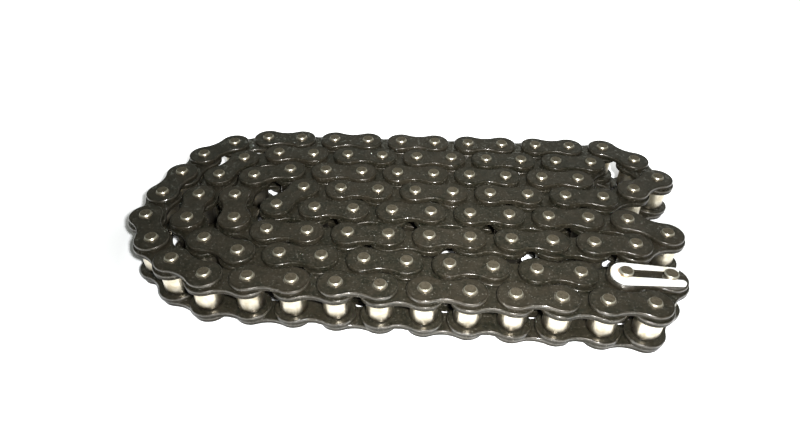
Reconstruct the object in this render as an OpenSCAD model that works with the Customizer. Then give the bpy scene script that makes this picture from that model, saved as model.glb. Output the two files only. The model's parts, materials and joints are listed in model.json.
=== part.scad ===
// Motorcycle drive chain, size 530, lying on its side in a flat coil of eight strands.
// The chain is an endless loop of roller links: inner links (two plates, two bushings,
// two rollers) alternate with outer links (two plates, two pins), and one outer link is
// a master link held by a spring clip. All pins stand upright, along +Z.
// The origin is at the middle of the coil, on the surface that the pin ends rest on.

/* [Chain] */
// Distance between neighbouring pins
pitch = 15.875; // [15.5:0.025:16.2]
// Clear width between the two plates of an inner link
inner_width = 9.5; // [8:0.1:11]
// Thickness of every plate
plate_t = 2.2; // [1.6:0.1:2.4]
// Play between an inner plate and the outer plate beside it
side_play = 0.15; // [0.1:0.05:0.3]

/* [Plates] */
// Height of an inner plate at its round ends
inner_plate_h = 14.7; // [13:0.1:14.8]
// Height of an inner plate at its waist
inner_waist_h = 10.9; // [9.5:0.1:11]
// Height of an outer plate at its round ends
outer_plate_h = 13.2; // [12:0.1:13.6]
// Height of an outer plate at its waist
outer_waist_h = 9.6; // [8.5:0.1:10]

/* [Pins, bushings and rollers] */
// Diameter of a pin
pin_d = 5.1; // [4.8:0.05:5.3]
// Length of a pin end that stands out of the outer plate
pin_proud = 1.1; // [0.8:0.1:1.5]
// Chamfer around a pin end
pin_chamfer = 0.45; // [0.2:0.05:0.6]
// Bore of a bushing
bushing_bore_d = 5.2; // [5.14:0.02:5.36]
// Outer diameter of a bushing
bushing_d = 7.2; // [6.8:0.1:7.4]
// Bore of a roller
roller_bore_d = 7.36; // [7.22:0.02:7.56]
// Outer diameter of a roller
roller_d = 10.16; // [9.8:0.02:10.4]
// Play between a roller's end and an inner plate
roller_play = 0.15; // [0.1:0.05:0.3]
// Chamfer around a roller's ends
roller_chamfer = 0.4; // [0.2:0.1:0.6]
// Gap all round a pin or bushing where it is pressed into its plate
press_gap = 0.01; // [0.005:0.005:0.02]

/* [Master link] */
// Thickness of the spring clip
clip_t = 1.2; // [1:0.1:1.4]
// Play above and below the spring clip
clip_play = 0.05; // [0.05:0.05:0.15]
// Width of the clip at its closed end
clip_w = 11; // [9.6:0.1:11.4]
// Width of the clip at its open end
clip_open_w = 9; // [8.6:0.1:9.6]
// Width of the slot between the clip's legs
clip_slot_w = 3.8; // [3.4:0.1:4]
// Play on each side between the slot and a pin's groove
clip_slot_play = 0.06; // [0.04:0.01:0.1]
// Reach of the clip's short leg past the right pin's axis
clip_short_leg = 3.6; // [2.6:0.1:4]
// Reach of the clip's long leg past the right pin's axis
clip_long_leg = 4.7; // [4.2:0.1:5.2]
// Height of a master pin's head above the clip
master_head_h = 1.25; // [1:0.05:1.6]

/* [Free run] */
// Number of inner links that swing freely, counted from the master link
free_inner_links = 8; // [2:1:8]

/* [Hidden] */
links = 100;
// The route of the chain, as runs of [number of links, heading in degrees], each run
// going on from the one before. It starts on the left, at the top of the outer bend.
// The last two links close the loop and take whatever heading that needs.
route_start_pin = 14;
runs = [
    // left outer bend, upper half
    [1, 76], [1, 68], [1, 43], [1, 18], [1, 0],
    // back strand, then the turn at its right end
    [9, 358.5], [1, 319], [1, 293], [1, 214], [1, 203],
    // fifth strand, then the tight turn at its left end
    [8, 178.5], [1, 233], [1, 355],
    // fourth strand, then the tight turn at its right end
    [8, 358], [1, 327], [1, 205],
    // third strand, then the inner bend on the left
    [9, 178], [1, 154], [1, 101], [1, 71], [1, 18],
    // sixth strand, then the tight turn at its right end
    [8, 358.5], [1, 57],
    // seventh strand, then the middle bend on the left
    [9, 178.5], [1, 199], [1, 239], [1, 252], [1, 268], [1, 309], [1, 334],
    // second strand, ending in the master link, then the turn to the front
    [10, 356], [1, 234],
    // front strand, then the left outer bend, lower half
    [10, 176], [1, 151], [1, 134]
];
headings = [for (run = runs) for (i = [1 : run[0]]) run[1]];
open_route = [
    for (i = 0, p = [0, 0];
         i <= len(headings);
         p = i < len(headings) ? p + pitch * [cos(headings[i]), sin(headings[i])] : p,
         i = i + 1) p
];

// The pin that closes the loop stands one pitch from each end of the open route.
route_gap = open_route[0] - open_route[len(headings)];
gap_middle = (open_route[0] + open_route[len(headings)]) / 2;
closing_rise = sqrt(pitch * pitch - route_gap * route_gap / 4) / norm(route_gap);
closing_pin = gap_middle + closing_rise * [-route_gap[1], route_gap[0]];
loose_route = concat(open_route, [closing_pin]);

xs = [for (p = loose_route) p[0]];
ys = [for (p = loose_route) p[1]];
coil_middle = [(min(xs) + max(xs)) / 2, (min(ys) + max(ys)) / 2];

// Pins count from 0, at the right end of the front strand, round the whole coil. The
// master link holds the last two, 98 and 99.
function wrapped(k) = (k + links) % links;
function pin_at(k) = loose_route[wrapped(k - route_start_pin)] - coil_middle;
function heading(k) = let (d = pin_at(k + 1) - pin_at(k)) atan2(d[1], d[0]);

master_left = 98;
master_right = 99;

// Heights, from the surface up
lower_outer_z = pin_proud;
lower_inner_z = lower_outer_z + plate_t + side_play;
inside_z = lower_inner_z + plate_t;
upper_inner_z = inside_z + inner_width;
upper_outer_z = upper_inner_z + plate_t + side_play;
top_z = upper_outer_z + plate_t;
pin_length = top_z + pin_proud;
bushing_length = inner_width + 2 * plate_t;
clip_z = top_z + clip_play;
groove_top_z = clip_z + clip_t + clip_play;
master_pin_length = groove_top_z + master_head_h;

pin_r = pin_d / 2;
bushing_r = bushing_d / 2;
groove_r = clip_slot_w / 2 - clip_slot_play;

// Links as the numbers of their left pins: outer links start at even pins and inner
// links at odd pins. Inner link 1 joins the master link to the front strand.
function free_inner_start(j) = 2 * j - 3;
function free_outer_start(j) = 2 * j - 2;
free_outer_links = free_inner_links - 1;
coil_outer_starts = [2 * free_outer_links : 2 : master_left - 2];
coil_inner_starts = [2 * free_inner_links - 1 : 2 : master_left - 1];

inner_colour = "#4a4038";
outer_colour = "#37302b";
pin_colour = "#9a8c7c";
bushing_colour = "#8d8478";
roller_colour = "#d9cfba";
clip_colour = "#e4e6e8";

// Places its children at a pin, with +X along the link that starts there.
module on_link(k) {
    translate(pin_at(k)) rotate([0, 0, heading(k)]) children();
}

module at_pin(k) {
    translate(pin_at(k)) children();
}

// Outline of a plate: two round ends, and a waist cut in by arcs that meet the ends
// smoothly. The web stops just inside the ends, so that it joins them cleanly.
module plate_outline(end_r, waist_r) {
    arc_r = (pitch * pitch / 4 + waist_r * waist_r - end_r * end_r) / (2 * (end_r - waist_r));
    arc_y = waist_r + arc_r;
    web = 0.998 * end_r / (end_r + arc_r) * [pitch / 2, arc_y];
    circle(r = end_r, $fn = 64);
    translate([pitch, 0]) circle(r = end_r, $fn = 64);
    difference() {
        translate([web[0], -web[1]]) square([pitch - 2 * web[0], 2 * web[1]]);
        for (side = [-1, 1])
            translate([pitch / 2, side * arc_y]) circle(r = arc_r, $fn = 96);
    }
}

module plate(end_r, waist_r, hole_r) {
    linear_extrude(plate_t) difference() {
        plate_outline(end_r, waist_r);
        circle(r = hole_r, $fn = 48);
        translate([pitch, 0]) circle(r = hole_r, $fn = 48);
    }
}

module inner_plate(k, z) {
    color(inner_colour) on_link(k) translate([0, 0, z])
        plate(inner_plate_h / 2, inner_waist_h / 2, bushing_r + press_gap);
}

module outer_plate(k, z) {
    color(outer_colour) on_link(k) translate([0, 0, z])
        plate(outer_plate_h / 2, outer_waist_h / 2, pin_r + press_gap);
}

// A riveted pin, with a chamfer around both ends.
module pin(k) {
    color(pin_colour) at_pin(k) rotate_extrude($fn = 48) polygon([
        [0, 0], [pin_r - pin_chamfer, 0], [pin_r, pin_chamfer],
        [pin_r, pin_length - pin_chamfer], [pin_r - pin_chamfer, pin_length],
        [0, pin_length]]);
}

module bushing(k) {
    color(bushing_colour) at_pin(k) translate([0, 0, lower_inner_z]) difference() {
        cylinder(h = bushing_length, r = bushing_r, $fn = 64);
        translate([0, 0, -1])
            cylinder(h = bushing_length + 2, d = bushing_bore_d, $fn = 48);
    }
}

module roller(k) {
    low = inside_z + roller_play;
    high = upper_inner_z - roller_play;
    outer = roller_d / 2;
    color(roller_colour) at_pin(k) rotate_extrude($fn = 64) polygon([
        [roller_bore_d / 2, low], [outer - roller_chamfer, low],
        [outer, low + roller_chamfer], [outer, high - roller_chamfer],
        [outer - roller_chamfer, high], [roller_bore_d / 2, high]]);
}

// Master link pins, with a groove for the clip below the head. The left one is whole.
// The loop is opened at the right one: its middle stays inside the bushing of inner
// link 1, and its two ends stay in the plates.
function master_head_outline(z) = [
    [0, z], [pin_r, z], [pin_r, top_z], [groove_r, top_z], [groove_r, groove_top_z],
    [pin_r, groove_top_z], [pin_r, master_pin_length - pin_chamfer],
    [pin_r - pin_chamfer, master_pin_length], [0, master_pin_length]
];

module master_pins() {
    foot = [[0, 0], [pin_r - pin_chamfer, 0], [pin_r, pin_chamfer]];
    head = master_head_outline(upper_outer_z);
    color(pin_colour) {
        at_pin(master_left) rotate_extrude($fn = 48)
            polygon(concat(foot, [for (i = [2 : len(head) - 1]) head[i]]));
        at_pin(master_right) rotate_extrude($fn = 48) polygon(head);
        at_pin(master_right) rotate_extrude($fn = 48) polygon(
            concat(foot, [[pin_r, lower_inner_z - side_play], [0, lower_inner_z - side_play]]));
    }
}

module master_pin_core() {
    color(pin_colour) at_pin(master_right) translate([0, 0, lower_inner_z])
        cylinder(h = bushing_length, r = pin_r, $fn = 48);
}

// The spring clip: closed and round at the left pin, two legs of unequal length on
// either side of the right pin.
module master_clip() {
    closed_r = clip_w / 2;
    open_r = clip_open_w / 2;
    tip_r = (open_r - clip_slot_w / 2) / 2;
    color(clip_colour) on_link(master_left) translate([0, 0, clip_z])
    linear_extrude(clip_t) difference() {
        union() {
            circle(r = closed_r, $fn = 64);
            polygon([
                [0, -closed_r + 0.01], [pitch + clip_long_leg - tip_r, -open_r],
                [pitch + clip_long_leg - tip_r, 0], [pitch + clip_short_leg - tip_r, 0],
                [pitch + clip_short_leg - tip_r, open_r], [0, closed_r - 0.01]]);
            translate([pitch + clip_long_leg - tip_r, tip_r - open_r])
                circle(r = tip_r, $fn = 32);
            translate([pitch + clip_short_leg - tip_r, open_r - tip_r])
                circle(r = tip_r, $fn = 32);
        }
        circle(d = clip_slot_w, $fn = 48);
        translate([0, -clip_slot_w / 2]) square([pitch + 2 * clip_long_leg, clip_slot_w]);
    }
}

module coil_outer_plates(z) {
    for (k = coil_outer_starts) outer_plate(k, z);
}

module coil_inner_plates(z) {
    for (k = coil_inner_starts) inner_plate(k, z);
}

module coil_pins() {
    for (k = coil_outer_starts, end = [0, 1]) pin(k + end);
}

module coil_bushings() {
    for (k = coil_inner_starts, end = [0, 1]) bushing(k + end);
}

module coil_rollers() {
    for (k = coil_inner_starts, end = [0, 1]) roller(k + end);
}

coil_outer_plates(upper_outer_z);  // coil_outer_plates_upper
coil_outer_plates(lower_outer_z);  // coil_outer_plates_lower
coil_pins();
coil_inner_plates(upper_inner_z);  // coil_inner_plates_upper
coil_inner_plates(lower_inner_z);  // coil_inner_plates_lower
coil_bushings();
coil_rollers();
outer_plate(master_left, lower_outer_z);  // master_back_plate
master_pins();
outer_plate(master_left, upper_outer_z);  // master_cover_plate
master_clip();
master_pin_core();

for (j = [1 : free_inner_links]) {
    start = free_inner_start(j);
    union() {
        inner_plate(start, lower_inner_z);
        inner_plate(start, upper_inner_z);
    }
    union() {
        bushing(start);
        bushing(start + 1);
    }
    roller(start);
    roller(start + 1);
}

for (j = [1 : free_outer_links]) {
    start = free_outer_start(j);
    union() {
        outer_plate(start, lower_outer_z);
        outer_plate(start, upper_outer_z);
    }
    union() {
        pin(start);
        pin(start + 1);
    }
}
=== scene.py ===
"""Looks of a motorcycle drive chain that lies on its side in a flat coil.

Every CAD node is replaced by a piece of the same size with the details of the real one:
plates with rolled edges, turned pins, rollers and bushings, and a flat spring clip.
Lengths are in millimetres up to the point where a mesh is made, and in metres from there.
"""

import json
import math

import bpy
import numpy as np
from mathutils import Matrix, Vector


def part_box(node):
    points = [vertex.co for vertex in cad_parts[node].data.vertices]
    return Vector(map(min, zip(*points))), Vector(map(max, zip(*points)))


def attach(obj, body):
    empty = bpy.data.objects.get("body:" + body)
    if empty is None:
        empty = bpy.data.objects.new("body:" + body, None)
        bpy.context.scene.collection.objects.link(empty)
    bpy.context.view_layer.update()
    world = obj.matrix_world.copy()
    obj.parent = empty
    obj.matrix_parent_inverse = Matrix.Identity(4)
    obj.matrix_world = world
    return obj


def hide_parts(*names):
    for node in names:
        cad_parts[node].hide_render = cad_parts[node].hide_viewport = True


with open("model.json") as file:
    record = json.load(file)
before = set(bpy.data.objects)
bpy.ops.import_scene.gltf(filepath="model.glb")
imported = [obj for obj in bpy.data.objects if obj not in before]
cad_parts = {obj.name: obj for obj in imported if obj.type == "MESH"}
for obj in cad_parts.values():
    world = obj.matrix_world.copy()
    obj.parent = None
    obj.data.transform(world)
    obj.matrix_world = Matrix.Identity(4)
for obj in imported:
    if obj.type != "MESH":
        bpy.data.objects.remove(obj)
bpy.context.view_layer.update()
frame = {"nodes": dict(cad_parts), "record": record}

MM = 0.001
TAU = 2 * math.pi
rng = np.random.default_rng(530)

# Sizes of the chain's parts, as the CAD model has them
PITCH = 15.875
OUTER_END_R, OUTER_WAIST_R = 6.6, 4.8
INNER_END_R, INNER_WAIST_R = 7.35, 5.45
PLATE_T = 2.2
PIN_R = 2.55
BUSHING_R, BUSHING_BORE_R = 3.6, 2.6
ROLLER_R, ROLLER_BORE_R = 5.08, 3.68
PRESS_GAP = 0.01
CLIP_CLOSED_R, CLIP_OPEN_R = 5.5, 4.5
CLIP_SLOT_R = 1.9
CLIP_SHORT_LEG, CLIP_LONG_LEG = 3.6, 4.7
GROOVE_R = 1.84

# The blanked edge of a plate: rolled over above, sheared in the middle, and below that
# broken off at a taper, up to a share of the thickness
PLATE_EDGE_R = 0.45
BURR_EDGE_R = 0.12
HOLE_EDGE_R = 0.12
BREAK_R = 0.3
BREAK_TAPER = 0.16
OUTER_BROKEN_SHARE, INNER_BROKEN_SHARE = 0.6, 0.68

# Wear of the rolled and the sheared stretch, and of metal that is dry and matt, which also
# marks where a pin is painted darker and the clip's slot wall gets painted shade
ROLLED, SHEARED, DULL_AND_DARKENED = 0.02, 0.06, -1.0

# Edges of the turned parts and the clip
PIN_CHAMFER_R, PIN_CHAMFER_H = 0.44, 0.62
MASTER_PIN_EDGE_R, MASTER_PIN_FOOT_R = 0.4, 0.3
CUT_EDGE_R = 0.05
BUSHING_EDGE_R, BUSHING_BORE_EDGE_R = 0.15, 0.2
ROLLER_EDGE_R, ROLLER_BORE_EDGE_R = 0.45, 0.25
CLIP_EDGE_R = 0.22

# How shapes are built: the reach of the flat that leads into an edge's profile, the distance
# from a round to the point that keeps its flat neighbour flat, the steps along half a plate,
# and the place of the ring of points between a plate's hole and its rim
FLAT = 2
SUPPORT = 0.1
MIDDLE_STEPS, WAIST_STEPS, END_STEPS = 4, 6, 17
FACE_RING = 0.45


# ---- Reading the frame ----

def mesh_points(node):
    mesh = frame["nodes"][node].data
    points = np.empty(len(mesh.vertices) * 3)
    mesh.vertices.foreach_get("co", points)
    return points.reshape(-1, 3) / MM


def solids(node):
    """(lowest, highest) corner of each separate solid of a CAD node, in millimetres."""
    points = mesh_points(node)
    mesh = frame["nodes"][node].data
    same = np.unique(np.round(points, 3), axis=0, return_inverse=True)[1].ravel()
    edges = np.empty(len(mesh.edges) * 2, int)
    mesh.edges.foreach_get("vertices", edges)
    a, b = same[edges.reshape(-1, 2)].T
    label = np.arange(same.max() + 1)
    while True:
        lowest = np.minimum(label[a], label[b])
        spread = label.copy()
        np.minimum.at(spread, a, lowest)
        np.minimum.at(spread, b, lowest)
        spread = spread[spread]
        if (spread == label).all():
            break
        label = spread
    of_point = label[same]
    found = [points[of_point == k] for k in np.unique(of_point)]
    return [(p.min(0), p.max(0)) for p in found]


def stands(node):
    """(x, y, bottom, top) of each upright round solid of a node."""
    return [(*((low + high) / 2)[:2], low[2], high[2]) for low, high in solids(node)]


def laid(node, ends_node):
    """Places of a node's plates: a matrix each, from the shape's own axes to the frame's.
    A plate's pins or bushings, in ends_node, are the two that stand nearest its middle."""
    ends = np.unique(np.round([s[:2] for s in stands(ends_node)], 2), axis=0)
    places = []
    for low, high in solids(node):
        middle = ((low + high) / 2)[:2]
        near = ends[np.argsort(np.linalg.norm(ends - middle, axis=1))[:2]]
        left, right = sorted(near.tolist())
        turn = math.atan2(right[1] - left[1], right[0] - left[0])
        places.append(Matrix.Translation((*left, low[2])) @ Matrix.Rotation(turn, 4, "Z"))
    return places


# ---- Shapes: (points, faces, wear, distances), with two values for each point ----
#
# Wear is 1 where steel is worn bright, 0 where it isn't, and below 0 where it is matt, where
# a pin is painted darker down its side, and where the clip's slot wall gets painted shade.
# The distance is from the axis of a turned part, or from the left-hand pin on the clip.

def fillet(corners, steps=4):
    """A line through corners (a, b, radius) with each corner rounded, as rows (a, b, wear)
    that are worn on the rounds. Where there is room, a round has a support point beside it."""
    rows = []
    for i, (a, b, radius) in enumerate(corners):
        here = np.array([a, b])
        if radius == 0:
            rows.append((a, b, 0.0))
            continue
        back = np.array(corners[i - 1][:2]) - here
        on = np.array(corners[(i + 1) % len(corners)][:2]) - here
        back_u, on_u = back / np.linalg.norm(back), on / np.linalg.norm(on)
        half = math.acos(np.clip(back_u @ on_u, -1, 1)) / 2
        run = radius / math.tan(half)
        inward = (back_u + on_u) / np.linalg.norm(back_u + on_u)
        centre = here + inward * radius / math.sin(half)
        start, stop = here + back_u * run - centre, here + on_u * run - centre
        if np.linalg.norm(back) > run + 2 * SUPPORT:
            rows.append((*(here + back_u * (run + SUPPORT)), 0.0))
        sweep = math.atan2(start[0] * stop[1] - start[1] * stop[0], start @ stop)
        for k in range(steps + 1):
            c, s = math.cos(sweep * k / steps), math.sin(sweep * k / steps)
            spoke = (start[0] * c - start[1] * s, start[0] * s + start[1] * c)
            rows.append((centre[0] + spoke[0], centre[1] + spoke[1], 1.0))
        if np.linalg.norm(on) > run + 2 * SUPPORT:
            rows.append((*(here + on_u * (run + SUPPORT)), 0.0))
    return rows


def lathe(profile, around, closed=False):
    """A turned shape. The profile's rows are (radius, height, wear): from the axis back to
    the axis, or round a closed ring, in the order that leaves the metal on the left."""
    points, faces, wear, radii, rings = [], [], [], [], []
    for radius, height, worn in profile:
        count = 1 if radius < 1e-6 else around
        rings.append((len(points), count))
        for k in range(count):
            turn = TAU * k / around
            points.append((radius * math.cos(turn), radius * math.sin(turn), height))
            wear.append(worn)
            radii.append(radius)
    pairs = list(zip(rings, rings[1:] + rings[:1])) if closed else list(zip(rings, rings[1:]))
    for (low, low_count), (high, high_count) in pairs:
        for k in range(around):
            n = (k + 1) % around
            if low_count == 1:
                faces.append((low, high + n, high + k))
            elif high_count == 1:
                faces.append((low + k, low + n, high))
            else:
                faces.append((low + k, low + n, high + n, high + k))
    return np.array(points), faces, np.array(wear), np.array(radii)


def weld(points, faces, wear, distances):
    """The same shape with its coinciding points made one."""
    _, first, same = np.unique(
        np.round(points, 5), axis=0, return_index=True, return_inverse=True)
    same = same.ravel()
    joined = [tuple(same[list(f)]) for f in faces]
    return points[first], joined, wear[first], distances[first]


def plate_edge(broken_share):
    """The blanked edge of a plate, as rows (inset, height, wear) from the lower face to the
    upper one."""
    break_z = PLATE_T * broken_share
    corners = [
        (FLAT, 0, 0), (BREAK_TAPER, 0, BURR_EDGE_R), (0, break_z, BREAK_R),
        (0, PLATE_T, PLATE_EDGE_R), (FLAT, PLATE_T, 0)]
    rows = fillet(corners, steps=3)[1:-1]
    return [(inset, z, edge_wear(inset, z, break_z)) for inset, z, _ in rows]


def edge_wear(inset, z, break_z):
    """The wear at a point of the blanked edge, and 0 on the faces beside it."""
    if inset > PLATE_EDGE_R or z == 0:
        return 0.0
    if z > PLATE_T - PLATE_EDGE_R:
        return ROLLED
    return SHEARED if z > break_z - 0.05 else DULL_AND_DARKENED


def half_outline(end_r, waist_r):
    """The outline of a plate's half around the hole at the origin, as rows (x, y, normal x,
    normal y): up the middle line, round the rim, and back up the middle line. The middle
    line's normals are along it and grow outwards, so an inset shrinks it evenly."""
    arc_r = (PITCH ** 2 / 4 + waist_r ** 2 - end_r ** 2) / (2 * (end_r - waist_r))
    arc_y = waist_r + arc_r
    rows = []
    for k in range(MIDDLE_STEPS):
        share = k / MIDDLE_STEPS
        rows.append((PITCH / 2, waist_r * share, 0.0, share))
    waist_turn = math.atan2(PITCH / 2, arc_y)
    for k in range(WAIST_STEPS):
        turn = waist_turn * k / WAIST_STEPS
        nx, ny = math.sin(turn), math.cos(turn)
        rows.append((PITCH / 2 - arc_r * nx, arc_y - arc_r * ny, nx, ny))
    join = math.atan2(arc_y, PITCH / 2)
    for k in range(END_STEPS + 1):
        turn = join + (math.pi - join) * k / END_STEPS
        nx, ny = math.cos(turn), math.sin(turn)
        rows.append((end_r * nx, end_r * ny, nx, ny))
    above = np.array(rows)
    below = above[-2:0:-1] * [1, -1, 1, -1]
    return np.concatenate([above, below])


def bridge(start, rings, count, closed):
    """Faces between one ring of count points and the next, from the point numbered start."""
    faces = []
    for low in range(start, start + (rings - 1) * count, count):
        high = low + count
        for k in range(count if closed else count - 1):
            n = (k + 1) % count
            faces.append((low + k, low + n, high + n, high + k))
    return faces


def plate_shape(end_r, waist_r, hole_r, broken_share):
    """A plate from one hole, at the origin, to the other, one pitch along +X. Half of it is
    built, as rings through the hole and over both faces and bands round the rim, and is
    then mirrored."""
    outline = half_outline(end_r, waist_r)
    place, normal = outline[:, :2], outline[:, 2:]
    edge = plate_edge(broken_share)
    hole = fillet([(FLAT, PLATE_T, 0), (0, PLATE_T, HOLE_EDGE_R), (0, 0, HOLE_EDGE_R),
                   (FLAT, 0, 0)], steps=2)[1:-1]
    border = place - normal * edge[0][0]
    spokes = border / np.linalg.norm(border, axis=1, keepdims=True)
    near = spokes * (hole_r + hole[0][0])
    between = near + (border - near) * FACE_RING

    rings = [(border, PLATE_T, 0.0), (between, PLATE_T, 0.0)]
    rings += [(spokes * (hole_r + inset), z, wear) for inset, z, wear in hole]
    rings += [(between, 0, 0.0), (border, 0, 0.0)]
    rim = slice(MIDDLE_STEPS, 1 - MIDDLE_STEPS)
    bands = [((place - normal * inset)[rim], z, wear) for inset, z, wear in edge]

    half = np.concatenate([np.c_[xy, np.full(len(xy), z)] for xy, z, _ in rings + bands])
    wear = np.concatenate([np.full(len(xy), worn) for xy, _, worn in rings + bands])
    faces = bridge(0, len(rings), len(outline), closed=True)
    faces += bridge(len(rings) * len(outline), len(bands), len(outline[rim]), closed=False)

    mirrored = half * [-1, 1, 1] + [PITCH, 0, 0]
    moved = [tuple(len(half) + k for k in reversed(f)) for f in faces]
    both = np.concatenate([half, mirrored])
    return weld(both, faces + moved, np.tile(wear, 2), np.zeros(len(both)))


def pin_shape(length):
    """A pin with flat ends and a long, softened chamfer round each."""
    flat_r, h = PIN_R - PIN_CHAMFER_R, PIN_CHAMFER_H
    corners = [
        (0, 0, 0), (flat_r, 0, 0.18), (PIN_R, h, 0.3),
        (PIN_R, length - h, 0.3), (flat_r, length, 0.18), (0, length, 0)]
    rows = [(r, z, pin_wear(r - flat_r, min(z, length - z)))
            for r, z, _ in fillet(corners, steps=3)]
    return lathe(rows, 36)


def pin_wear(past_flat, depth):
    """0 on the flat end, 1, or bright, round its edge, and less and less further down."""
    return 1 - 0.8 * depth / PIN_CHAMFER_H if past_flat > -0.05 else 0.0


def master_pin_shape(bottom, top, groove_low, groove_high):
    """A master link pin, or the part of it from bottom to top, with the clip's groove in
    it if it reaches that high."""
    corners = [
        (0, bottom, 0), (PIN_R, bottom, MASTER_PIN_FOOT_R if bottom == 0 else CUT_EDGE_R)]
    if top > groove_high:
        corners += [
            (PIN_R, groove_low, CUT_EDGE_R), (GROOVE_R, groove_low, CUT_EDGE_R),
            (GROOVE_R, groove_high, CUT_EDGE_R), (PIN_R, groove_high, 2 * CUT_EDGE_R),
            (PIN_R, top, MASTER_PIN_EDGE_R), (0, top, 0)]
    else:
        corners += [(PIN_R, top, CUT_EDGE_R), (0, top, 0)]
    return lathe(fillet(corners, steps=4), 40)


def pin_core_shape(length):
    """The part of a pin that is inside a bushing, cut off at both ends."""
    corners = [
        (0, 0, 0), (PIN_R, 0, 2 * CUT_EDGE_R), (PIN_R, length, 2 * CUT_EDGE_R), (0, length, 0)]
    return lathe(fillet(corners), 36)


def tube_shape(outer_r, bore_r, length, outer_edge, bore_edge, around):
    corners = [
        (bore_r, 0, bore_edge), (outer_r, 0, outer_edge),
        (outer_r, length, outer_edge), (bore_r, length, bore_edge)]
    return lathe(fillet(corners), around, closed=True)


def clip_outline():
    """The clip's outline from its short leg round the closed end to its long leg and back
    along the slot, as (x, y, normal x, normal y) rows. The left pin is at the origin."""
    tip = (CLIP_OPEN_R - CLIP_SLOT_R) / 2
    rows = []

    def arc(x, y, radius, start, stop, steps, outward=1):
        for k in range(steps + 1):
            turn = math.radians(start + (stop - start) * k / steps)
            c, s = math.cos(turn), math.sin(turn)
            rows.append((x + radius * c, y + radius * s, outward * c, outward * s))

    lean = math.degrees(math.atan2(CLIP_CLOSED_R - CLIP_OPEN_R, PITCH))
    arc(PITCH + CLIP_SHORT_LEG - tip, CLIP_OPEN_R - tip, tip, -90, 90 - lean, 12)
    arc(0, 0, CLIP_CLOSED_R, 90, 270, 32)
    arc(PITCH + CLIP_LONG_LEG - tip, tip - CLIP_OPEN_R, tip, lean - 90, 90, 12)
    arc(0, 0, CLIP_SLOT_R, 270, 90, 24, outward=-1)
    return np.array(rows)


def on_slot_wall(x, y, ny):
    """Whether a point of the clip's outline, with this normal, is on the wall of the slot."""
    return math.hypot(x, y) < CLIP_SLOT_R + 0.01 or y * ny < -0.99 * abs(y)


def clip_shape(thick):
    """The spring clip: its outline swept through a rounded edge, and capped."""
    outline = clip_outline()
    count = len(outline)
    edge = fillet([(FLAT, 0, 0), (0, 0, CLIP_EDGE_R), (0, thick, CLIP_EDGE_R),
                   (FLAT, thick, 0)])[1:-1]
    points, wear = [], []
    for inset, z, _ in edge:
        for x, y, nx, ny in outline:
            points.append((x - nx * inset, y - ny * inset, z))
            # the slot wall below the top rim is marked for painted shade
            slot_shade = on_slot_wall(x, y, ny) and z < thick - 0.05
            wear.append(DULL_AND_DARKENED if slot_shade else 0.0)
    faces = bridge(0, len(edge), count, closed=True)
    faces.append(tuple(reversed(range(count))))
    faces.append(tuple((len(edge) - 1) * count + k for k in range(count)))
    points = np.array(points)
    return points, faces, np.array(wear), np.hypot(points[:, 0], points[:, 1])


# ---- Making pieces ----

ROLLER_NODES = [name for name in frame["nodes"] if "roller" in name]
ROLLER_FOOT = stands(ROLLER_NODES[0])[0][2]
ROLLER_AXES = np.array([s[:2] for name in ROLLER_NODES for s in stands(name)])

# How close a roller counts as near, and how many near ones there are in an open and in a
# packed place
NEAR = 19.5
FEW_NEAR, MANY_NEAR = 4, 7


def packing(place):
    """From 0 for a solid at the outside of the coil to 1 for one with a strand on each
    side."""
    distance = np.linalg.norm(ROLLER_AXES - np.array(place.translation)[:2], axis=1)
    near = np.sum(distance < NEAR)
    return float(np.clip((near - FEW_NEAR) / (MANY_NEAR - FEW_NEAR), 0, 1))


def make_piece(name, parts, material):
    """One mesh object of several placed shapes. Each solid gets a shade of its own, and
    painted shade that is stronger where the strands are packed closely."""
    points, faces, wear, distances, shades, packed_shade = [], [], [], [], [], []
    start = 0
    for (shape_points, shape_faces, shape_wear, shape_distances), place in parts:
        rows = np.c_[shape_points, np.ones(len(shape_points))] @ np.array(place).T
        points.append(rows[:, :3] * MM)
        faces += [tuple(k + start for k in f) for f in shape_faces]
        wear.append(shape_wear)
        distances.append(shape_distances)
        shades.append(np.full(len(rows), rng.random()))
        # painted shade: 0 outside the coil, 1 between packed strands
        packed_shade.append(np.full(len(rows), packing(place)))
        start += len(rows)
    mesh = bpy.data.meshes.new(name)
    mesh.from_pydata(np.concatenate(points).tolist(), [], faces)
    for label, values in (("wear", wear), ("distance", distances), ("shade", shades),
                          ("packed_shade", packed_shade)):
        layer = mesh.attributes.new(label, "FLOAT", "POINT")
        layer.data.foreach_set("value", np.concatenate(values).astype(np.float32))
    mesh.polygons.foreach_set("use_smooth", np.ones(len(mesh.polygons), bool))
    mesh.materials.append(material)
    mesh.validate()
    piece = bpy.data.objects.new(name, mesh)
    bpy.context.scene.collection.objects.link(piece)
    return piece


def body_of(node):
    bodies = frame["record"]["behaviour"]["bodies"]
    return next(body for body, members in bodies.items() if node in members)


def stand_in(node, parts, material):
    """The detailed piece for one CAD node, on the node's own body."""
    piece = make_piece(node + ".detailed", parts, material)
    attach(piece, body_of(node))
    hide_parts(node)


# ---- Materials ----

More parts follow.
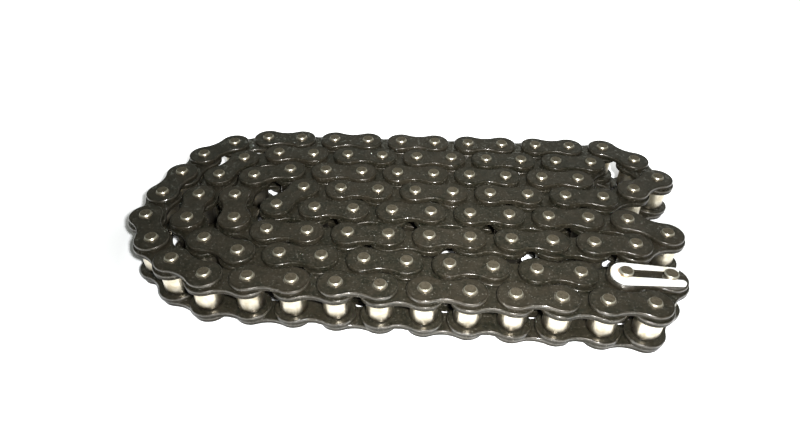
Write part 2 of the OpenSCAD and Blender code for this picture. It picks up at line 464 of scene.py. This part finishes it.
class Nodes:
    """Short calls for building one material's node tree."""

    def __init__(self, name):
        self.material = bpy.data.materials.new(name)
        self.material.use_nodes = True
        self.tree = self.material.node_tree
        self.shader = self.tree.nodes["Principled BSDF"]
        self.coordinates = self.add("ShaderNodeTexCoord").outputs["Object"]

    def add(self, kind, **settings):
        node = self.tree.nodes.new(kind)
        for key, value in settings.items():
            setattr(node, key, value)
        return node

    def put(self, socket, value):
        if isinstance(value, bpy.types.NodeSocket):
            self.tree.links.new(value, socket)
        else:
            socket.default_value = value

    def set(self, **values):
        """Shader inputs by name, with _ for a space."""
        for key, value in values.items():
            self.put(self.shader.inputs[key.replace("_", " ")], value)

    def attribute(self, name):
        return self.add("ShaderNodeAttribute", attribute_name=name).outputs["Fac"]

    def stretched(self, scale):
        mapping = self.add("ShaderNodeMapping")
        self.put(mapping.inputs["Vector"], self.coordinates)
        mapping.inputs["Scale"].default_value = scale
        return mapping.outputs["Vector"]

    def noise(self, size_mm, detail=3.0, roughness=0.55, vector=None, distortion=0.0):
        """Noise with features of about this size, from 0 to 1."""
        node = self.add("ShaderNodeTexNoise")
        self.put(node.inputs["Vector"], vector or self.coordinates)
        node.inputs["Scale"].default_value = 1 / (size_mm * MM)
        node.inputs["Detail"].default_value = detail
        node.inputs["Roughness"].default_value = roughness
        node.inputs["Distortion"].default_value = distortion
        return node.outputs["Fac"]

    def math(self, operation, a, b):
        node = self.add("ShaderNodeMath", operation=operation)
        self.put(node.inputs[0], a)
        self.put(node.inputs[1], b)
        return node.outputs[0]

    def spread(self, value, low, high, to_low=0.0, to_high=1.0):
        """value's stretch from low to high, mapped and held within to_low and to_high."""
        node = self.add("ShaderNodeMapRange")
        self.put(node.inputs["Value"], value)
        for label, number in (("From Min", low), ("From Max", high),
                              ("To Min", to_low), ("To Max", to_high)):
            node.inputs[label].default_value = number
        return node.outputs["Result"]

    def mix(self, share, a, b):
        node = self.add("ShaderNodeMix", data_type="RGBA")
        self.put(node.inputs["Factor"], share)
        self.put(node.inputs["A"], a)
        self.put(node.inputs["B"], b)
        return next(o for o in node.outputs if o.type == "RGBA")

    def bump(self, height, strength, distance_mm, normal=None):
        node = self.add("ShaderNodeBump")
        self.put(node.inputs["Height"], height)
        node.inputs["Strength"].default_value = strength
        node.inputs["Distance"].default_value = distance_mm * MM
        if normal:
            self.put(node.inputs["Normal"], normal)
        return node.outputs["Normal"]


def rgb(r, g, b):
    return (r, g, b, 1.0)


def plate_material(name, dark, brown, worn, dryness):
    """Black-brown oxide under a film of oil with drops in it: mottled, duller where the film
    is thin, with steel showing on the rolled and sheared edges. Between close strands the
    edges get painted shade, with less bare steel and, in patches, less sheen. Drops are
    rarer the higher the dryness."""
    n = Nodes(name)
    mottle = n.noise(4.5, detail=5, roughness=0.62, distortion=0.5)
    stipple = n.noise(0.9, detail=3, roughness=0.6)
    grain = n.noise(0.35, detail=2)
    tone = n.math("ADD", mottle, n.math("MULTIPLY", n.attribute("shade"), 0.16))
    base = n.mix(n.spread(tone, 0.42, 0.74), dark, brown)
    base = n.mix(n.spread(stipple, 0.36, 0.66, 0.0, 0.75), base, rgb(0.027, 0.0225, 0.015))
    base = n.mix(n.spread(grain, 0.3, 0.75, 0.0, 0.5), base, rgb(0.005, 0.005, 0.003))
    wear = n.attribute("wear")
    bare_steel_unless_shaded = n.math("MULTIPLY", n.math("MAXIMUM", wear, 0.0),
                    n.spread(n.noise(1.6, detail=4), 0.35, 0.65, 0.35, 1.0))
    # painted shade: bare steel fades from the edges where the strands are packed
    bare_steel_unless_shaded = n.math("MULTIPLY", bare_steel_unless_shaded, n.spread(n.attribute("packed_shade"), 0.0, 0.7, 1.0, 0.08))
    base = n.mix(n.math("MULTIPLY", bare_steel_unless_shaded, 0.8), base, worn)
    specks = n.spread(n.noise(0.7, detail=2), 0.64, 0.72, 0.0, 0.6)
    base = n.mix(specks, base, rgb(0.15, 0.14, 0.115))
    film = n.noise(5, detail=4, roughness=0.6, distortion=1.0)
    drops = n.spread(n.noise(1.2, detail=1), dryness, dryness + 0.08)
    # painted shade: the edges' sheen is cut in patches where the strands are packed
    shaded_edge_patches = n.math("MULTIPLY", n.spread(wear, 0.0, ROLLED),
                     n.spread(n.noise(2.6, detail=3), 0.43, 0.53))
    shaded_edge_patches = n.math("MULTIPLY", shaded_edge_patches, n.spread(n.attribute("packed_shade"), 0.0, 0.7))
    sheen_kept = n.math("SUBTRACT", 1.0, n.math("MULTIPLY", shaded_edge_patches, 0.85))
    oiled = n.math("MULTIPLY", n.spread(wear, DULL_AND_DARKENED, 0.0, 0.0, 0.75),
                   n.spread(film, 0.38, 0.6, 0.3, 1.0))
    ripples = n.bump(n.noise(1.1, detail=3), 0.9, 0.11)
    n.set(Base_Color=base,
          Metallic=n.math("MULTIPLY", bare_steel_unless_shaded, 0.8),
          Roughness=n.spread(n.math("ADD", film, n.math("MULTIPLY", grain, 0.25)),
                             0.4, 0.85, 0.26, 0.45),
          Specular_IOR_Level=n.math("MULTIPLY", sheen_kept, n.spread(wear, DULL_AND_DARKENED, 0.0, 0.1, 0.5)),
          Specular_Tint=rgb(1.0, 0.91, 0.82),
          Coat_Weight=n.math("MULTIPLY", sheen_kept, oiled),
          Coat_Roughness=n.spread(drops, 0.0, 0.3, 0.12, 0.04), Coat_IOR=1.5,
          Normal=n.bump(grain, 0.25, 0.02),
          Coat_Normal=n.bump(drops, 1.0, 0.4, normal=ripples))
    return n.material


def pin_material():
    """Ground steel with turned rings on the ends and brown stains, brighter where worn, and
    painted darker down the side towards the plate.
    """
    n = Nodes("pin_steel")
    rings = n.add("ShaderNodeTexNoise", noise_dimensions="1D")
    n.put(rings.inputs["W"], n.attribute("distance"))
    rings.inputs["Scale"].default_value = 9.0
    rings.inputs["Detail"].default_value = 3.0
    stain = n.noise(1.1, detail=4, distortion=0.6)
    base = n.mix(n.spread(stain, 0.4, 0.7), rgb(0.255, 0.215, 0.155), rgb(0.135, 0.11, 0.07))
    wear = n.attribute("wear")
    worn = n.math("MAXIMUM", wear, 0.0)
    base = n.mix(n.math("MULTIPLY", worn, 0.5), base, rgb(0.56, 0.56, 0.47))
    # painted darker down the pin's side towards the plate, where wear is below 0
    base = n.mix(n.spread(wear, DULL_AND_DARKENED, 0.0, 0.9, 0.0), base, rgb(0.1, 0.085, 0.06))
    polish = n.spread(stain, 0.35, 0.7, 0.3, 0.42)
    n.set(Base_Color=base,
          Metallic=0.85,
          Roughness=n.math("ADD", polish, n.spread(wear, -0.5, 1.0, -0.06, 0.08)),
          Coat_Weight=0.25, Coat_Roughness=0.1,
          Normal=n.bump(rings.outputs["Fac"], 0.3, 0.03))
    return n.material


def roller_material():
    """Bright ground steel with fine lines round the roller and smears of oil, with painted
    shade at its foot and between packed strands.
    """
    n = Nodes("roller_steel")
    lines = n.noise(0.5, detail=4, roughness=0.65, vector=n.stretched((0.04, 0.04, 1.0)))
    smear = n.noise(3.5, detail=3, distortion=0.8)
    base = n.mix(n.spread(smear, 0.42, 0.72), rgb(0.75, 0.69, 0.56), rgb(0.55, 0.475, 0.33))
    height = n.add("ShaderNodeSeparateXYZ")
    n.put(height.inputs[0], n.coordinates)
    # painted shade: the roller darkens towards its foot on the lower plate
    foot_shade_low, foot_shade_high = (ROLLER_FOOT + 0.8) * MM, (ROLLER_FOOT + 4.5) * MM
    foot_shade = n.math("MULTIPLY", n.spread(height.outputs["Z"], foot_shade_low, foot_shade_high, 1.0, 0.0),
                  n.spread(smear, 0.3, 0.7, 0.75, 1.0))
    base = n.mix(foot_shade, base, rgb(0.07, 0.06, 0.04))
    # painted shade: rollers between packed strands are darkened nearly to black
    base = n.mix(n.math("MULTIPLY", n.attribute("packed_shade"), 0.92), base, rgb(0.045, 0.035, 0.024))
    n.set(Base_Color=base,
          Metallic=1.0,
          Roughness=n.spread(n.math("ADD", smear, n.math("MULTIPLY", lines, 0.3)),
                             0.45, 0.85, 0.27, 0.38),
          Coat_Weight=0.15, Coat_Roughness=0.15,
          Normal=n.bump(lines, 0.12, 0.02))
    return n.material


def bushing_material():
    """Steel with brown stains."""
    n = Nodes("bushing_steel")
    stain = n.noise(1.5, detail=4)
    base = n.mix(n.spread(stain, 0.35, 0.7), rgb(0.42, 0.38, 0.32), rgb(0.2, 0.17, 0.13))
    n.set(Base_Color=base, Metallic=1.0,
          Roughness=n.spread(stain, 0.35, 0.7, 0.22, 0.4),
          Normal=n.bump(n.noise(0.3), 0.15, 0.02))
    return n.material


def clip_material():
    """Bright nickel plate with a yellow cast in places and fine rubbing marks, brown oil
    round the left-hand pin, and painted shade on the slot wall."""
    n = Nodes("clip_nickel")
    cast = n.noise(6, detail=2)
    rubs = n.noise(0.6, detail=4, vector=n.stretched((0.08, 1.0, 1.0)))
    base = n.mix(n.spread(cast, 0.55, 0.8), rgb(0.96, 0.95, 0.93), rgb(0.93, 0.8, 0.5))
    oiled = n.math("MULTIPLY", n.spread(n.attribute("distance"), 2.6, 3.6, 1.0, 0.0),
                   n.spread(n.noise(2.5, detail=2), 0.3, 0.5))
    base = n.mix(oiled, base, rgb(0.4, 0.21, 0.02))
    # painted shade on the slot wall
    slot_shade = n.spread(n.attribute("wear"), DULL_AND_DARKENED, 0.0, 1.0, 0.0)
    base = n.mix(slot_shade, base, rgb(0.04, 0.033, 0.022))
    n.set(Base_Color=base, Metallic=0.45,
          Roughness=n.spread(rubs, 0.3, 0.75, 0.3, 0.45),
          Coat_Weight=0.1, Coat_Roughness=0.1,
          Normal=n.bump(rubs, 0.1, 0.02))
    return n.material


BLACK_OXIDE = rgb(0.003, 0.004, 0.002)
BARE_STEEL = rgb(0.4, 0.37, 0.31)
outer_finish = plate_material(
    "outer_plate_oxide", BLACK_OXIDE, rgb(0.02, 0.0155, 0.01), BARE_STEEL, dryness=0.64)
inner_finish = plate_material(
    "inner_plate_oxide", BLACK_OXIDE, rgb(0.016, 0.013, 0.008), BARE_STEEL, dryness=0.52)
pin_finish = pin_material()
roller_finish = roller_material()
bushing_finish = bushing_material()
clip_finish = clip_material()


# ---- The chain ----

outer_plate = plate_shape(
    OUTER_END_R, OUTER_WAIST_R, PIN_R + PRESS_GAP, OUTER_BROKEN_SHARE)
inner_plate = plate_shape(
    INNER_END_R, INNER_WAIST_R, BUSHING_R + PRESS_GAP, INNER_BROKEN_SHARE)


def plates(node, shape, ends_node, material):
    stand_in(node, [(shape, place) for place in laid(node, ends_node)], material)


def upright(node, shape_of, material):
    """Turned pieces, each with its own turn about its axis."""
    parts = []
    for x, y, low, high in stands(node):
        turn = Matrix.Rotation(rng.random() * TAU, 4, "Z")
        parts.append((shape_of(high - low), Matrix.Translation((x, y, low)) @ turn))
    stand_in(node, parts, material)


shapes_made = {}


def once(kind, make):
    """shape_of for upright(): makes each length of a kind only once."""
    def shape_of(length):
        key = (kind, round(length, 3))
        if key not in shapes_made:
            shapes_made[key] = make(length)
        return shapes_made[key]
    return shape_of


pin = once("pin", pin_shape)
bushing = once("bushing", lambda length: tube_shape(
    BUSHING_R, BUSHING_BORE_R, length, BUSHING_EDGE_R, BUSHING_BORE_EDGE_R, 32))
roller = once("roller", lambda length: tube_shape(
    ROLLER_R, ROLLER_BORE_R, length, ROLLER_EDGE_R, ROLLER_BORE_EDGE_R, 44))


def coil():
    for level in ("upper", "lower"):
        plates(f"coil_outer_plates_{level}", outer_plate, "coil_pins", outer_finish)
        plates(f"coil_inner_plates_{level}", inner_plate, "coil_bushings", inner_finish)
    upright("coil_pins", pin, pin_finish)
    upright("coil_bushings", bushing, bushing_finish)
    upright("coil_rollers", roller, roller_finish)


def master_link():
    for node in ("master_back_plate", "master_cover_plate"):
        plates(node, outer_plate, "master_pins", outer_finish)
    plate_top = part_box("master_cover_plate")[1].z / MM
    clip_low, clip_high = (corner.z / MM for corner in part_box("master_clip"))
    play = clip_low - plate_top
    parts = []
    for x, y, low, high in stands("master_pins"):
        shape = master_pin_shape(low, high, plate_top, clip_high + play)
        parts.append((shape, Matrix.Translation((x, y, 0))))
    stand_in("master_pins", parts, pin_finish)
    x, y, low, high = stands("master_pin_core")[0]
    core = pin_core_shape(high - low)
    stand_in("master_pin_core", [(core, Matrix.Translation((x, y, low)))], pin_finish)
    place = laid("master_cover_plate", "master_pins")[0]
    raised = Matrix.Translation((0, 0, clip_low - place.translation.z)) @ place
    stand_in("master_clip", [(clip_shape(clip_high - clip_low), raised)], clip_finish)


def free_links():
    for node in frame["nodes"]:
        if node.startswith("inner_link") and node.endswith("plates"):
            plates(node, inner_plate, node.replace("plates", "bushings"), inner_finish)
        elif node.startswith("outer_link") and node.endswith("plates"):
            plates(node, outer_plate, node.replace("plates", "pins"), outer_finish)
        elif node.startswith("outer_link") and node.endswith("pins"):
            upright(node, pin, pin_finish)
        elif node.startswith("inner_link") and node.endswith("bushings"):
            upright(node, bushing, bushing_finish)
        elif node.startswith("inner_link"):
            upright(node, roller, roller_finish)


coil()
master_link()
free_links()


# ---- Floor, light and camera ----

# The floor's half width, how much longer than wide the oval round the coil is, and the
# oval's half lengths between which the paper's painted glow rises from faint to full, in metres
FLOOR_REACH = 20.0
OVAL_RATIO = 1.8
LOW_GLOW_REACH, FULL_GLOW_REACH = 0.1245, 0.175


def floor():
    """White paper with a painted glow that overexposes it away from the chain; near it the flash
    lights it.
    """
    n = Nodes("white_paper")
    tone = n.noise(60, detail=2)
    away = n.add("ShaderNodeVectorMath", operation="LENGTH")
    n.put(away.inputs[0], n.stretched((1.0, OVAL_RATIO, 1.0)))
    paper = n.mix(n.spread(tone, 0.3, 0.7), rgb(0.94, 0.94, 0.93), rgb(0.96, 0.96, 0.96))
    # the paper glows as painted light, faintly near the chain and fully further away
    n.set(Base_Color=paper, Roughness=0.8,
          Emission_Color=rgb(1, 1, 1),
          Emission_Strength=n.spread(away.outputs["Value"], LOW_GLOW_REACH, FULL_GLOW_REACH, 0.05, 1.0))
    mesh = bpy.data.meshes.new("floor")
    sides = ((-1, -1), (1, -1), (1, 1), (-1, 1))
    corners = [(x * FLOOR_REACH, y * FLOOR_REACH, 0) for x, y in sides]
    mesh.from_pydata(corners, [], [(0, 1, 2, 3)])
    mesh.materials.append(n.material)
    sheet = bpy.data.objects.new("floor", mesh)
    bpy.context.scene.collection.objects.link(sheet)


def lamp(name, place, target, size, power, colour, spread):
    data = bpy.data.lights.new(name, "AREA")
    data.shape = "DISK"
    data.spread = math.radians(spread)
    data.size = size
    data.energy = power
    data.color = colour
    light = bpy.data.objects.new(name, data)
    light.location = place
    light.rotation_euler = (Vector(target) - Vector(place)).to_track_quat("-Z", "Y").to_euler()
    bpy.context.scene.collection.objects.link(light)


def surroundings():
    """A pale room: white at the horizon, dim overhead, and dimmer and greener on the left."""
    world = bpy.data.worlds.new("surroundings")
    bpy.context.scene.world = world
    world.use_nodes = True
    tree = world.node_tree
    direction = tree.nodes.new("ShaderNodeTexCoord").outputs["Generated"]
    parts = tree.nodes.new("ShaderNodeSeparateXYZ")
    tree.links.new(direction, parts.inputs[0])

    def stretch(value, low, high, to_low, to_high):
        node = tree.nodes.new("ShaderNodeMapRange")
        node.interpolation_type = "SMOOTHSTEP"
        tree.links.new(value, node.inputs["Value"])
        for label, number in (("From Min", low), ("From Max", high),
                              ("To Min", to_low), ("To Max", to_high)):
            node.inputs[label].default_value = number
        return node.outputs["Result"]

    def combine(operation, a, b):
        node = tree.nodes.new("ShaderNodeMath")
        node.operation = operation
        tree.links.new(a, node.inputs[0])
        tree.links.new(b, node.inputs[1])
        return node.outputs[0]

    horizon = stretch(parts.outputs["Z"], 0.0, 0.12, 1.0, 0.0)
    overhead = stretch(parts.outputs["Z"], 0.0, 0.8, 0.48, 0.13)
    sideways = stretch(parts.outputs["X"], -0.8, 0.3, 0.35, 1.0)
    background = tree.nodes["Background"]
    tint = tree.nodes.new("ShaderNodeMix")
    tint.data_type = "RGBA"
    tree.links.new(sideways, tint.inputs["Factor"])
    tint.inputs["A"].default_value = rgb(0.84, 1.0, 0.85)
    tint.inputs["B"].default_value = rgb(0.97, 1.0, 0.88)
    tree.links.new(next(o for o in tint.outputs if o.type == "RGBA"), background.inputs["Color"])
    strength = combine("ADD", horizon, combine("MULTIPLY", overhead, sideways))
    tree.links.new(strength, background.inputs["Strength"])


def studio():
    surroundings()
    lamp("flash", place=(0.02, -0.215, 0.195), target=(0.012, 0.02, 0), size=0.016,
         power=0.62, colour=(0.97, 0.985, 1.0), spread=80)


def camera():
    """Looks along +Y and down, from close by with a wide lens, rolled by one degree."""
    yaw, pitch, roll = (math.radians(a) for a in (-0.03, 38.05, 1.0))
    ahead = Vector((math.sin(yaw) * math.cos(pitch), math.cos(yaw) * math.cos(pitch),
                    -math.sin(pitch)))
    level = Vector((math.cos(yaw), -math.sin(yaw), 0))
    upward = level.cross(ahead)
    right = level * math.cos(roll) + upward * math.sin(roll)
    up = upward * math.cos(roll) - level * math.sin(roll)
    data = bpy.data.cameras.new("camera")
    data.sensor_width = 36.0
    data.lens = 28.02
    data.clip_start = 0.01
    seen_from = bpy.data.objects.new("camera", data)
    turned = Matrix((right, up, -ahead)).transposed().to_4x4()
    seen_from.matrix_world = Matrix.Translation((-0.0057, -0.2048, 0.1733)) @ turned
    bpy.context.scene.collection.objects.link(seen_from)
    bpy.context.scene.camera = seen_from


floor()
studio()
camera()
bpy.context.scene.view_settings.view_transform = "Standard"

bpy.context.view_layer.update()
